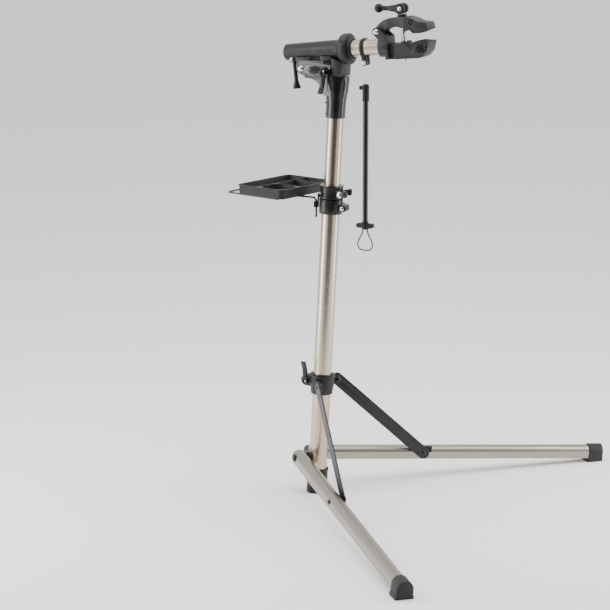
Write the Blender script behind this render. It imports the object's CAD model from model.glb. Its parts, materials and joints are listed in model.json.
import bpy
import json
import math
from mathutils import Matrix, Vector


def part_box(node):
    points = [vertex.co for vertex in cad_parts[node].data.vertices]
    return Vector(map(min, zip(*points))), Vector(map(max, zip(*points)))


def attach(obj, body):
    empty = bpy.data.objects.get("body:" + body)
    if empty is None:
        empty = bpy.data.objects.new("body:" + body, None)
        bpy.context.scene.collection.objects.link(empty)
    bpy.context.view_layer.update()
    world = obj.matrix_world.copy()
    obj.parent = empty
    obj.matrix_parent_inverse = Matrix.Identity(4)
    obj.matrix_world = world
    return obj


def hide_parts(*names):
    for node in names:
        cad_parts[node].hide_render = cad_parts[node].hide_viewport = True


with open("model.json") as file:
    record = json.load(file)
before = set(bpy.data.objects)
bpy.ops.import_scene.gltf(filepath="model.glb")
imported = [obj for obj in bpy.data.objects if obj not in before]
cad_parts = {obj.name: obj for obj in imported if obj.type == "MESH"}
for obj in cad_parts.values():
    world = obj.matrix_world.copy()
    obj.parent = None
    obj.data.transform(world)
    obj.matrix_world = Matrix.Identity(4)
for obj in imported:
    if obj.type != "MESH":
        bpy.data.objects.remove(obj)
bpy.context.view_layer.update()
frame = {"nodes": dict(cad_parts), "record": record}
nodes = frame["nodes"]
bodyOf = {n: b for b, held in frame["record"]["behaviour"]["bodies"].items() for n in held}
joints = {j["name"]: j for j in frame["record"]["behaviour"]["joints"]}
print("frame loaded:", len(nodes), "nodes")

# the tilted arm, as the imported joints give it: its origin is on the mast, short of the spin joint
spinOffset = 0.03
armAlong = Vector(joints["arm_spin"]["axis"]).normalized()
armOrigin = Vector(joints["arm_spin"]["pos_m"]) - armAlong * spinOffset
armUp = Vector((-armAlong.z, 0, armAlong.x))


def onArm(a, y, h):
    # a point from millimetres along, across and up the arm
    return armOrigin + armAlong * (a / 1000) + Vector((0, y / 1000, 0)) + armUp * (h / 1000)


# camera: angles in degrees, places in metres
camera = {"azimuth": 27.914, "pitch": 12.79, "distance": 4.9677, "height": 1.5892,
          "lens": 126.66, "sensor": 36, "shift": -0.0192, "reach": 200}


def addCamera(v):
    az = math.radians(v["azimuth"])
    spot = (math.sin(az) * v["distance"], -math.cos(az) * v["distance"], v["height"])
    bpy.ops.object.camera_add(location=spot, rotation=(math.radians(90 - v["pitch"]), 0, az))
    cam = bpy.context.object
    cam.data.lens = v["lens"]
    cam.data.sensor_width = v["sensor"]
    cam.data.shift_x = v["shift"]
    cam.data.clip_end = v["reach"]
    bpy.context.scene.camera = cam


addCamera(camera)
print("camera placed")


# shader helpers
class Sock:
    # a socket that Python's own operators work on
    def __init__(self, shader, socket):
        self.shader = shader
        self.socket = socket

    def maths(self, operation, other=None, swap=False):
        values = {0: other, 1: self} if swap else {0: self, 1: other}
        values = {k: v for k, v in values.items() if v is not None}
        return self.shader.node("Math", {"operation": operation}, values)

    def __add__(self, other):
        return self.maths("ADD", other)

    def __radd__(self, other):
        return self.maths("ADD", other)

    def __sub__(self, other):
        return self.maths("SUBTRACT", other)

    def __rsub__(self, other):
        return self.maths("SUBTRACT", other, swap=True)

    def __mul__(self, other):
        return self.maths("MULTIPLY", other)

    def __rmul__(self, other):
        return self.maths("MULTIPLY", other)

    def __gt__(self, other):
        return self.maths("GREATER_THAN", other)

    def __lt__(self, other):
        return self.maths("LESS_THAN", other)


class Shader:
    def __init__(self, name, owners=bpy.data.materials):
        self.owner = owners.new(name)
        self.owner.use_nodes = True
        self.tree = self.owner.node_tree
        self.tree.nodes.clear()

    def node(self, kind, settings=None, values=None, out=0):
        # one node of any type: its settings first, then the values or links of its sockets
        made = self.tree.nodes.new("ShaderNode" + kind)
        for key, value in (settings or {}).items():
            if key == "stops":
                ramp = made.color_ramp
                while len(ramp.elements) < len(value):
                    ramp.elements.new(0.5)
                for element, (place, shade) in zip(ramp.elements, value):
                    element.position = place
                    element.color = (shade, shade, shade, 1)
            else:
                setattr(made, key, value)
        for key, value in (values or {}).items():
            if isinstance(value, Sock):
                self.tree.links.new(value.socket, made.inputs[key])
            else:
                made.inputs[key].default_value = value
        return Sock(self, made.outputs[out])

    def place(self, space="Object"):
        return self.node("TexCoord", out=space)

    def axes(self, vector):
        split = self.node("SeparateXYZ", {}, {0: vector})
        return [Sock(self, o) for o in split.socket.node.outputs]

    def noise(self, vector, scale, detail, stretch=None, turn=(0, 0, 0)):
        if stretch:
            mapping = {"Vector": vector, "Rotation": turn, "Scale": stretch}
            vector = self.node("Mapping", {}, mapping)
        return self.node("TexNoise", {}, {"Vector": vector, "Scale": scale, "Detail": detail})

    def ramp(self, value, *stops):
        return self.node("ValToRGB", {"stops": stops}, {0: value})

    def blend(self, factor, a, b):
        return self.node("Mix", {"data_type": "RGBA"}, {0: factor, 6: a, 7: b}, out=2)

    def bump(self, height, strength, distance):
        return self.node("Bump", {}, {"Strength": strength, "Distance": distance, "Height": height})

    def finish(self, **sockets):
        values = {k.replace("_", " "): v for k, v in sockets.items()}
        surface = self.node("BsdfPrincipled", {}, values)
        self.end("OutputMaterial", surface)
        return self.owner

    def end(self, kind, surface):
        made = self.tree.nodes.new("ShaderNode" + kind)
        self.tree.links.new(surface.socket, made.inputs["Surface"])

    def along(self, vector, axis):
        # how far a vector reaches along an axis
        return self.node("VectorMath", {"operation": "DOT_PRODUCT"}, {0: vector, 1: axis}, out="Value")

    def rise(self, value, low, high):
        # 0 below low, 1 above high, smooth between
        return self.node("MapRange", {"interpolation_type": "SMOOTHSTEP"},
                         {"Value": value, "From Min": low, "From Max": high})


def grey(v, warm=0.0):
    # a neutral colour, or a slightly warm one
    return (v * (1 + warm), v, v * (1 - warm), 1)


# finishes
def anodised(name, tint, stretch, turn=(0, 0, 0), rough=0.27):
    # satin anodised tube: fine drawn lines along the tube and a faint cloudiness
    s = Shader(name)
    place = s.place()
    lines = s.noise(place, 1, 3, stretch, turn)
    cloud = s.noise(place, 14, 3)
    scuffs = s.ramp(s.noise(place, 46, 6), (0.6, 0), (0.72, 1))
    dark = tuple(c * 0.86 for c in tint) + (1,)
    light = tuple(min(1, c * 1.07) for c in tint) + (1,)
    colour = s.blend(lines * 0.6 + cloud * 0.4, dark, light)
    roughness = rough - 0.06 + lines * 0.12 + scuffs * 0.05
    return s.finish(Base_Color=colour, Metallic=1.0, Roughness=roughness,
                    Normal=s.bump(lines, 0.12, 0.00012))


def moulded(name, shade, grain, rough, strength=0.25):
    # moulded plastic with a fine spark-eroded grain and faint rub marks
    s = Shader(name)
    place = s.place()
    fine = s.noise(place, grain, 3)
    rubs = s.ramp(s.noise(place, 30, 6), (0.52, 0), (0.7, 1))
    colour = s.blend(rubs * 0.5 + fine * 0.3, grey(shade * 0.85), grey(shade * 1.35))
    roughness = rough + fine * 0.12 - rubs * 0.07
    return s.finish(Base_Color=colour, Roughness=roughness, Specular_IOR_Level=0.22,
                    Normal=s.bump(fine, strength, 0.0002))


def painted(name, shade, rough, coat, peel):
    # sprayed enamel: a slight orange peel under a clear coat, with a few dull rubs
    s = Shader(name)
    place = s.place()
    skin = s.noise(place, peel, 2)
    rubs = s.ramp(s.noise(place, 24, 7), (0.56, 0), (0.74, 1))
    colour = s.blend(rubs * 0.6, grey(shade), grey(shade * 1.8))
    return s.finish(Base_Color=colour, Roughness=rough + rubs * 0.14 + skin * 0.05,
                    Normal=s.bump(skin, 0.1, 0.0003), Specular_IOR_Level=0.25, Coat_Weight=coat,
                    Coat_Roughness=0.06)


def metal(name, shade, rough):
    # plated or plain steel: turned lines and light handling marks
    s = Shader(name)
    place = s.place()
    lines = s.noise(place, 900, 2, (1, 0.15, 1))
    marks = s.ramp(s.noise(place, 60, 6), (0.5, 0), (0.75, 1))
    colour = s.blend(marks * 0.5 + lines * 0.3, grey(shade), grey(shade * 0.82))
    roughness = rough + lines * 0.08 + marks * 0.08
    return s.finish(Base_Color=colour, Metallic=1.0, Roughness=roughness, Normal=s.bump(lines, 0.08, 0.0001))


def rubbery(name, shade):
    # rubber with open pores and a little pale dust
    s = Shader(name)
    place = s.place()
    pores = s.noise(place, 700, 5)
    dust = s.ramp(s.noise(place, 35, 6), (0.5, 0), (0.8, 1))
    colour = s.blend(dust * 0.6, grey(shade), grey(shade * 2.1, 0.04))
    return s.finish(Base_Color=colour, Roughness=0.62 + pores * 0.2, Normal=s.bump(pores, 0.3, 0.0002))


def braided(name):
    # two crossing sets of strands on a black cord
    s = Shader(name)
    place = s.place()
    x, y, z = s.axes(place)
    pitch, slant = 2400.0, 1500.0
    one = (x * pitch + z * pitch + y * slant).maths("SINE")
    two = (x * pitch - z * pitch + y * slant).maths("SINE")
    weave = one.maths("MAXIMUM", two) * 0.5 + 0.5
    colour = s.blend(weave, grey(0.012), grey(0.045))
    return s.finish(Base_Color=colour, Roughness=0.6 + weave * 0.15, Normal=s.bump(weave, 0.6, 0.0004))


def neckPaint(name, plateFront=0.029, plateLow=0.973):
    # gloss black casting whose cheek plates are satin charcoal, by their place
    s = Shader(name)
    place = s.place()
    x, _, z = s.axes(place)
    skin = s.noise(place, 240, 2)
    fine = s.noise(place, 1300, 3)
    plate = (x < plateFront) * (z > plateLow)
    colour = s.blend(plate, grey(0.007), s.blend(fine, grey(0.04), grey(0.06)))
    roughness = plate * 0.3 + 0.16 + fine * 0.08
    return s.finish(Base_Color=colour, Roughness=roughness, Normal=s.bump(skin + fine * 0.5, 0.12, 0.0002),
                    Specular_IOR_Level=0.35, Coat_Weight=0.25, Coat_Roughness=0.08)


def degrees(*angles):
    return tuple(math.radians(a) for a in angles)


mastTint = (0.50, 0.425, 0.345)
legTint = (0.34, 0.305, 0.265)
linesUp, linesForward = (2600, 2600, 18), (18, 2600, 2600)  # drawn lines along Z, and along X
finishes = {
    "mastTube": anodised("mast tube", mastTint, linesUp),
    "armTube": anodised("arm tube", mastTint, linesForward),
    "legLeft": anodised("left leg tube", legTint, linesForward, degrees(0, 0, -45), 0.3),
    "legRight": anodised("right leg tube", legTint, linesForward, degrees(0, 0, 45), 0.3),
    "blackPlastic": moulded("black plastic", 0.011, 1200, 0.36),
    "greyPlastic": moulded("charcoal plastic", 0.022, 1000, 0.38),
    "jawPlastic": moulded("jaw plastic", 0.03, 850, 0.42, strength=0.4),
    "trayPlastic": moulded("tray plastic", 0.018, 600, 0.46, strength=0.45),
    "castBlack": painted("black casting", 0.01, 0.28, 0.2, 500),
    "barBlack": painted("bar enamel", 0.012, 0.2, 0.4, 300),
    "braceBlack": painted("brace enamel", 0.014, 0.34, 0.1, 420),
    "neckBlack": neckPaint("neck enamel"),
    "chrome": metal("plated steel", 0.82, 0.1),
    "steel": metal("plain steel", 0.6, 0.24),
    "rubber": rubbery("black rubber", 0.012),
    "cord": braided("braided cord"),
    "badge": metal("badge rim", 0.78, 0.2),
    "badgeField": painted("badge field", 0.015, 0.2, 0.4, 300),
}

finishOf = {
    "mastTube": ["lower_tube", "upper_tube"],
    "armTube": ["arm_tube"],
    "legLeft": ["leg_left"],
    "legRight": ["leg_right"],
    "blackPlastic": ["base_foot", "leg_spacers", "clamp_bush", "tray_socket", "ring_knob", "plug_left",
                     "plug_right", "brace_washer_left", "brace_washer_right", "collar_bush",
                     "barrel_lever", "hanger_ring", "cam_washer", "cam_lever", "bar_head", "bar_screw",
                     "bar_end"],
    "greyPlastic": ["leg_collar", "barrel"],
    "jawPlastic": ["lower_jaw", "upper_jaw"],
    "trayPlastic": ["tray_pan"],
    "castBlack": ["mast_clamp", "tray_ring", "mast_lever", "collar_lever", "head_lever", "leg_bolts",
                  "brace_bolt_left", "brace_bolt_right", "tray_wire", "collar_pins"],
    "barBlack": ["bar_tube"],
    "braceBlack": ["brace_left", "brace_right"],
    "neckBlack": ["neck"],
    "chrome": ["clamp_bolts", "collar_skewer", "neck_bolts", "head_skewer", "barrel_pin", "arm_bolts",
               "cam_pin", "jaw_spring"],
    "steel": ["arm_spindle", "jaw_rod", "rod_nut", "bar_hook"],
    "rubber": ["foot_left", "foot_right", "lock_pad", "arm_bush", "lower_pad", "upper_pad"],
    "cord": ["loop_cord"],
}
finishName = {n: f for f, held in finishOf.items() for n in held}


def paint(obj, finish):
    obj.data.materials.clear()
    obj.data.materials.append(finishes[finish])


for name, obj in nodes.items():
    paint(obj, finishName[name])
print("finishes on", len(nodes), "nodes")


# modelling helpers
def alone(obj):
    bpy.ops.object.select_all(action="DESELECT")
    obj.select_set(True)
    bpy.context.view_layer.objects.active = obj


def editing(obj):
    alone(obj)
    bpy.ops.object.mode_set(mode="EDIT")


def pickFaces(obj, test):
    # selects the faces whose middle and normal pass the test
    bpy.ops.object.mode_set(mode="OBJECT")
    for face in obj.data.polygons:
        face.select = bool(test(face.center, face.normal))
    bpy.ops.object.mode_set(mode="EDIT")


def applyModifier(obj, kind, **settings):
    alone(obj)
    modifier = obj.modifiers.new(kind.title(), kind)
    for key, value in settings.items():
        setattr(modifier, key, value)
    bpy.ops.object.modifier_apply(modifier=modifier.name)


def settle(obj, smooth=32):
    # place into the mesh, clean doubles, outward normals, smooth shading by angle
    alone(obj)
    bpy.ops.object.transform_apply(location=True, rotation=True, scale=True)
    bpy.ops.object.mode_set(mode="EDIT")
    bpy.ops.mesh.select_all(action="SELECT")
    bpy.ops.mesh.remove_doubles(threshold=0.00001)
    bpy.ops.mesh.normals_make_consistent(inside=False)
    bpy.ops.object.mode_set(mode="OBJECT")
    bpy.ops.object.shade_smooth_by_angle(angle=math.radians(smooth))


def join(parts, name):
    bpy.ops.object.select_all(action="DESELECT")
    for part in parts:
        part.select_set(True)
    bpy.context.view_layer.objects.active = parts[0]
    bpy.ops.object.join()
    parts[0].name = name
    return parts[0]


def fit(obj, name, finish, body):
    # a piece's name, finish, body and material slot
    obj.name = name
    paint(obj, finish)
    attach(obj, body)


def lookAlong(axis):
    return Vector(axis).to_track_quat("Z", "Y").to_euler()


# rounded edges, in metres: each piece is a merged copy of its node with a bevel on the sharp edges
edgeRounds = {
    "lower_jaw": 0.0012, "upper_jaw": 0.0014, "lower_pad": 0.0007, "upper_pad": 0.0007,
    "barrel": 0.0009, "neck": 0.0008, "mast_clamp": 0.0009, "tray_ring": 0.0008, "tray_socket": 0.0007,
    "leg_collar": 0.0009, "foot_left": 0.0016, "foot_right": 0.0016, "base_foot": 0.0012,
    "hanger_ring": 0.0008, "bar_end": 0.0012, "bar_head": 0.0008, "cam_lever": 0.0008,
    "mast_lever": 0.0007, "collar_lever": 0.0007, "head_lever": 0.0007, "barrel_lever": 0.0008,
    "ring_knob": 0.0004, "tray_pan": 0.0007, "arm_bush": 0.0008, "bar_screw": 0.0005,
    "brace_left": 0.0005, "brace_right": 0.0005, "cam_washer": 0.0005,
}

# grooves cut in the jaws' sides: low end, high end (along, up the arm), width and depth, in mm
grooves = {
    "face": 22, "ends": 0.12,
    "lower_jaw": [
        ((205.6, -15), (208.4, -2), 2.2, 4),
        ((228.2, -13), (230.8, 0), 2.2, 4),
        ((232.9, -7), (234.8, 0.5), 2, 4),
        ((158, -24), (200, -24), 1.2, 1),
    ],
    "upper_jaw": [
        ((211, 37.5), (234.6, 41.4), 1.3, 1.4),
        ((210, 41.5), (234.8, 44.6), 1.3, 1.4),
        ((209, 45.5), (234.8, 47.8), 1.3, 1.4),
        ((196.5, 46), (204.6, 56.5), 2.6, 3.2),
        ((192, 50), (199, 59.3), 2.4, 3.2),
    ],
}


def cutGrooves(obj, v, cuts):
    # one slanted bar for each groove and side, taken away from the jaw
    bars = []
    for low, high, width, depth in cuts:
        foot = Vector((low[0], 0, low[1]))
        slant = Vector((high[0] - low[0], 0, high[1] - low[1]))
        for side in (-1, 1):
            bpy.ops.mesh.primitive_cube_add(size=1)
            bar = bpy.context.object
            applyModifier(bar, "BEVEL", width=v["ends"], segments=2)
            across = Vector((-slant.z, 0, slant.x)).normalized() * width
            for vertex in bar.data.vertices:
                spot = foot + slant * (vertex.co.z + 0.5) + across * vertex.co.x
                vertex.co = onArm(spot.x, side * (v["face"] + vertex.co.y * 2 * depth), spot.z)
            bars.append(bar)
    cutter = join(bars, "cutter")
    editing(cutter)
    bpy.ops.mesh.select_all(action="SELECT")
    bpy.ops.mesh.normals_make_consistent(inside=False)
    bpy.ops.object.mode_set(mode="OBJECT")
    applyModifier(obj, "BOOLEAN", operation="DIFFERENCE", object=cutter, solver="EXACT")
    bpy.data.objects.remove(cutter)


def rounded(name, width):
    obj = bpy.data.objects.new(name + "_shell", nodes[name].data.copy())
    bpy.context.collection.objects.link(obj)
    editing(obj)
    bpy.ops.mesh.select_all(action="SELECT")
    bpy.ops.mesh.remove_doubles(threshold=0.00001)
    bpy.ops.mesh.dissolve_limited(angle_limit=math.radians(0.4))
    bpy.ops.object.mode_set(mode="OBJECT")
    applyModifier(obj, "BEVEL", width=width, segments=2, limit_method="ANGLE",
                  angle_limit=math.radians(38), use_clamp_overlap=True, miter_outer="MITER_ARC")
    if name in grooves:
        cutGrooves(obj, grooves, grooves[name])
    alone(obj)
    bpy.ops.object.shade_smooth_by_angle(angle=math.radians(30))
    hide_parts(name)
    fit(obj, name + "_shell", finishName[name], bodyOf[name])


for name, width in edgeRounds.items():
    rounded(name, width)
print("edges rounded on", len(edgeRounds), "pieces")


# loop cord under the holder: points across and up in mm, mirrored about its middle
cordRoute = {"radius": 0.0016, "middle": 127.5, "steps": 5,
             "half": [(122, 656), (121.6, 652), (120.2, 647), (117.6, 641), (114, 635), (110.8, 629),
                      (108.8, 623), (108.6, 617), (110.8, 611.6), (115, 607.8), (121, 606.2)],
             "foot": (127.5, 605.9)}


def curved(a, b, c, d, t):
    # a point between b and c on the smooth curve through all four
    bend = 2 * a - 5 * b + 4 * c - d
    twist = 3 * b - a - 3 * c + d
    return 0.5 * (2 * b + (c - a) * t + bend * t * t + twist * t ** 3)


def loopCord(v):
    right = [(2 * v["middle"] - x, z) for x, z in reversed(v["half"])]
    points = [Vector((x / 1000, 0, z / 1000)) for x, z in v["half"] + [v["foot"]] + right]
    ends = [points[0]] + points + [points[-1]]
    fine = []
    for i in range(len(points) - 1):
        for k in range(v["steps"]):
            fine.append(curved(ends[i], ends[i + 1], ends[i + 2], ends[i + 3], k / v["steps"]))
    fine.append(points[-1])
    curve = bpy.data.curves.new("loop cord", "CURVE")
    curve.dimensions = "3D"
    curve.bevel_depth = v["radius"]
    curve.bevel_resolution = 5
    curve.use_fill_caps = True
    spline = curve.splines.new("POLY")
    spline.points.add(len(fine) - 1)
    for point, spot in zip(spline.points, fine):
        point.co = (*spot, 1)
    obj = bpy.data.objects.new("cord_loop", curve)
    bpy.context.collection.objects.link(obj)
    paint(obj, "cord")
    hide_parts("loop_cord")
    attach(obj, "bar")
    length = sum((b - a).length for a, b in zip(fine, fine[1:]))
    print("cord length", round(length, 4))


loopCord(cordRoute)


# low button caps with a hex socket on the screw heads, in metres
capSize = {"radius": 0.0044, "height": 0.0016, "socket": 0.0021, "depth": 0.0018}
capFaces = {"sunk": 0.0002, "jaw": 0.0248, "hanger": 0.0128}


def socketCap(v):
    # on the origin, facing +Z
    bpy.ops.mesh.primitive_cylinder_add(vertices=48, radius=v["radius"], depth=v["height"])
    cap = bpy.context.object
    bpy.ops.object.mode_set(mode="EDIT")
    pickFaces(cap, lambda c, n: n.z > 0.9)
    bpy.ops.mesh.inset(thickness=v["radius"] - v["socket"] * 1.25)
    bpy.ops.mesh.extrude_region_move(TRANSFORM_OT_translate={"value": (0, 0, v["height"] * 0.35)})
    bpy.ops.mesh.inset(thickness=v["socket"] * 0.25)
    bpy.ops.mesh.extrude_region_move(TRANSFORM_OT_translate={"value": (0, 0, -v["depth"])})
    bpy.ops.object.mode_set(mode="OBJECT")
    # the socket takes six flats
    for vertex in cap.data.vertices:
        out = math.hypot(vertex.co.x, vertex.co.y)
        if abs(out ** 2 - v["socket"] ** 2) < (v["socket"] * 0.2) ** 2:
            turn = math.atan2(vertex.co.y, vertex.co.x) % (math.pi / 3) - math.pi / 6
            reach = v["socket"] * math.cos(math.pi / 6) / math.cos(turn) / out
            vertex.co.x *= reach
            vertex.co.y *= reach
    applyModifier(cap, "BEVEL", width=v["height"] * 0.16, segments=2, limit_method="ANGLE",
                  angle_limit=math.radians(40))
    return cap


def capsOn(name, body, spots, scale):
    model = socketCap({k: value * scale for k, value in capSize.items()})
    parts = []
    for spot, facing in spots:
        part = model.copy()
        part.data = model.data.copy()
        bpy.context.collection.objects.link(part)
        part.rotation_euler = lookAlong(facing)
        part.location = spot
        parts.append(part)
    bpy.data.objects.remove(model)
    made = join(parts, name)
    settle(made)
    fit(made, name, "chrome", body)


def bothSides(joint, out):
    # the two ends of a pin on a joint's axis, this far from the middle
    centre = Vector(joints[joint]["pos_m"])
    return [(centre + Vector((0, side * out, 0)), (0, side, 0)) for side in (1, -1)]


hinge = Vector(joints["head_fold"]["pos_m"])
low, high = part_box("neck_bolts")
capsOn("hinge_caps", "mast", [(Vector((hinge.x, low.y + capFaces["sunk"], hinge.z)), (0, -1, 0)),
                              (Vector((hinge.x, high.y - capFaces["sunk"], hinge.z)), (0, 1, 0))], 0.95)
capsOn("jaw_caps", "arm", bothSides("jaw_open", capFaces["jaw"]), 0.95)
capsOn("hanger_caps", "arm", bothSides("bar_swing", capFaces["hanger"]), 0.8)
print("screw caps set")


# oval badge with a plain chevron motif on each cheek plate, in metres; sink is a share of the height
badge = {"centre": (0.004, 1.0222), "half": (0.0215, 0.0108), "face": 0.0245, "rim": 0.0022,
         "height": 0.0011, "sink": 0.45, "edge": 0.0003, "chevron": 0.0052, "stroke": 0.0011,
         "point": 0.8, "sweep": 0.9, "row": (-0.0085, -0.0045, -0.0005, 0.0035, 0.0075)}


def ovalPlate(v):
    # an oval disc whose middle is sunk inside a raised rim
    bpy.ops.mesh.primitive_cylinder_add(vertices=72, radius=1, depth=v["height"])
    plate = bpy.context.object
    plate.scale = (*v["half"], 1)
    bpy.ops.object.transform_apply(scale=True)
    bpy.ops.object.mode_set(mode="EDIT")
    pickFaces(plate, lambda c, n: n.z > 0.9)
    bpy.ops.mesh.inset(thickness=v["rim"])
    bpy.ops.mesh.extrude_region_move(TRANSFORM_OT_translate={"value": (0, 0, -v["height"] * v["sink"])})
    bpy.ops.object.mode_set(mode="OBJECT")
    applyModifier(plate, "BEVEL", width=v["edge"], segments=2, limit_method="ANGLE",
                  angle_limit=math.radians(40))
    return plate


def chevron(v, x):
    # a bent strip pushed up out of the field
    bpy.ops.mesh.primitive_plane_add(size=1)
    strip = bpy.context.object
    strip.scale = (v["stroke"], v["chevron"] * 2, 1)
    bpy.ops.object.transform_apply(scale=True)
    bpy.ops.object.mode_set(mode="EDIT")
    bpy.ops.mesh.select_all(action="SELECT")
    bpy.ops.mesh.subdivide(number_cuts=5)
    bpy.ops.mesh.extrude_region_move(TRANSFORM_OT_translate={"value": (0, 0, v["height"] * v["sink"])})
    bpy.ops.object.mode_set(mode="OBJECT")
    for vertex in strip.data.vertices:
        vertex.co.x += x + v["chevron"] * v["point"] - abs(vertex.co.y) * v["sweep"]
    return strip


def addBadge(v, side):
    plate = ovalPlate(v)
    motif = join([chevron(v, x) for x in v["row"]], "motif")
    end = "_right" if side < 0 else "_left"
    for obj, name, lift in ((plate, "badge_rim", v["sink"]), (motif, "badge_motif", 0.5)):
        obj.rotation_euler = (-side * math.pi / 2, 0, 0)
        obj.location = (v["centre"][0], side * (v["face"] + v["height"] * lift), v["centre"][1])
        settle(obj, 30)
        fit(obj, name + end, "badge", "mast")
    # the sunk field takes a dark enamel
    plate.data.materials.append(finishes["badgeField"])
    inner = [half - v["rim"] * 1.1 for half in v["half"]]
    for face in plate.data.polygons:
        x = (face.center.x - v["centre"][0]) / inner[0]
        z = (face.center.z - v["centre"][1]) / inner[1]
        face.material_index = 1 if x ** 2 + z ** 2 < 1 and abs(face.normal.y) > 0.9 else 0


for side in (-1, 1):
    addBadge(badge, side)
print("badges set")


# ribs in the lower jaw's side pockets, in mm in the arm's frame
ribs = {"count": 3, "from": 214.6, "step": 3.9, "thick": 1.7, "low": -16.4, "high": 2.4, "depth": 6.6,
        "slant": 3.4, "face": 21.7, "round": 0.08}


def jawRib(v, index, side):
    bpy.ops.mesh.primitive_cube_add(size=1)
    rib = bpy.context.object
    applyModifier(rib, "BEVEL", width=v["round"], segments=2)
    for vertex in rib.data.vertices:
        h = v["low"] + (vertex.co.z + 0.5) * (v["high"] - v["low"])
        a = v["from"] + index * v["step"] + vertex.co.x * v["thick"] + vertex.co.z * v["slant"] * 0.5
        y = side * (v["face"] - v["depth"] * (0.5 - vertex.co.y * side))
        vertex.co = onArm(a, y, h)
    return rib


parts = [jawRib(ribs, i, side) for i in range(ribs["count"]) for side in (-1, 1)]
made = join(parts, "jaw_ribs")
settle(made, 30)
fit(made, "jaw_ribs", "jawPlastic", "arm")
print("jaw ribs set")


# grip bars across the jaw pads: sizes in metres, rows in mm along and up the arm
grips = {"radius": 0.001, "width": 0.038, "edge": 0.0004,
         "lower": {"body": "arm", "count": 6, "from": (214, 11.1), "step": (4, -0.52)},
         "upper": {"body": "upper_jaw", "count": 5, "from": (216, 28.1), "step": (4, 1.27)}}


def gripBars(v, name, row):
    bars = []
    for i in range(row["count"]):
        bpy.ops.mesh.primitive_cylinder_add(vertices=20, radius=v["radius"], depth=v["width"])
        bar = bpy.context.object
        applyModifier(bar, "BEVEL", width=v["edge"], segments=2, limit_method="ANGLE")
        bar.rotation_euler = (math.pi / 2, 0, 0)
        bar.location = onArm(row["from"][0] + i * row["step"][0], 0, row["from"][1] + i * row["step"][1])
        bars.append(bar)
    whole = join(bars, name)
    settle(whole, 40)
    fit(whole, name, "rubber", row["body"])


gripBars(grips, "lower_grips", grips["lower"])
gripBars(grips, "upper_grips", grips["upper"])
print("pad grips set")


# studio: a pale floor, a bright world that darkens behind the camera, and three softboxes
azimuth = math.radians(camera["azimuth"])
toCamera = (math.sin(azimuth), -math.cos(azimuth), 0)
toRight = (math.cos(azimuth), math.sin(azimuth), 0)
studio = {"floor": 60, "shade": 0.93, "dark": 0.04, "near": 0.95, "far": 1.5, "spread": 0.7,
          "world": 1.3, "front": 0.12, "aim": 1.0}
softboxes = [  # place to the camera's right, place towards it, height, size, power, colour
    ("left softbox", -1.7, 0.35, 1.15, (0.8, 2.3), 42, (1, 0.985, 0.96)),
    ("right softbox", 1.75, 0.1, 1.15, (0.7, 2.3), 26, (1, 0.95, 0.93)),
    ("top softbox", 0.2, 0.4, 4.2, (3.5, 3.5), 120, (1, 1, 1)),
]


def addLight(name, across, near, height, size, power, colour):
    spot = Vector(toRight) * across + Vector(toCamera) * near + Vector((0, 0, height))
    bpy.ops.object.light_add(type="AREA", location=spot)
    light = bpy.context.object
    light.name = name
    light.data.shape = "RECTANGLE"
    light.data.size, light.data.size_y = size
    light.data.energy = power
    light.data.color = colour
    aim = Vector((0, 0, min(height, studio["aim"])))
    light.rotation_euler = (aim - spot).to_track_quat("-Z", "Y").to_euler()


def addFloor(v):
    # pale, with a dark patch before the camera's view that the tubes reflect
    bpy.ops.mesh.primitive_plane_add(size=v["floor"], location=(0, 0, 0))
    floor = bpy.context.object
    floor.name = "floor"
    s = Shader("studio floor")
    place = s.place()
    near = s.along(place, toCamera)
    across = s.along(place, toRight).maths("ABSOLUTE")
    patch = s.rise(near, v["near"], v["far"]) * (1 - s.rise(across - near * v["spread"], -0.5, 0.3))
    soft = s.noise(place, 1.5, 2)
    pale = s.blend(soft, grey(v["shade"]), grey(v["shade"] * 0.985))
    colour = s.blend(patch, pale, grey(v["dark"]))
    floor.data.materials.append(s.finish(Base_Color=colour, Roughness=0.9))


def addWorld(v):
    # bright to the sides and behind, dark behind the camera
    s = Shader("studio", bpy.data.worlds)
    front = s.rise(s.along(s.place("Generated"), toCamera), 0.35, 0.85)
    shade = s.blend(front, grey(1), grey(v["front"]))
    s.end("OutputWorld", s.node("Background", {}, {"Color": shade, "Strength": v["world"]}))
    bpy.context.scene.world = s.owner


addFloor(studio)
addWorld(studio)
for box in softboxes:
    addLight(*box)
print("studio lit")
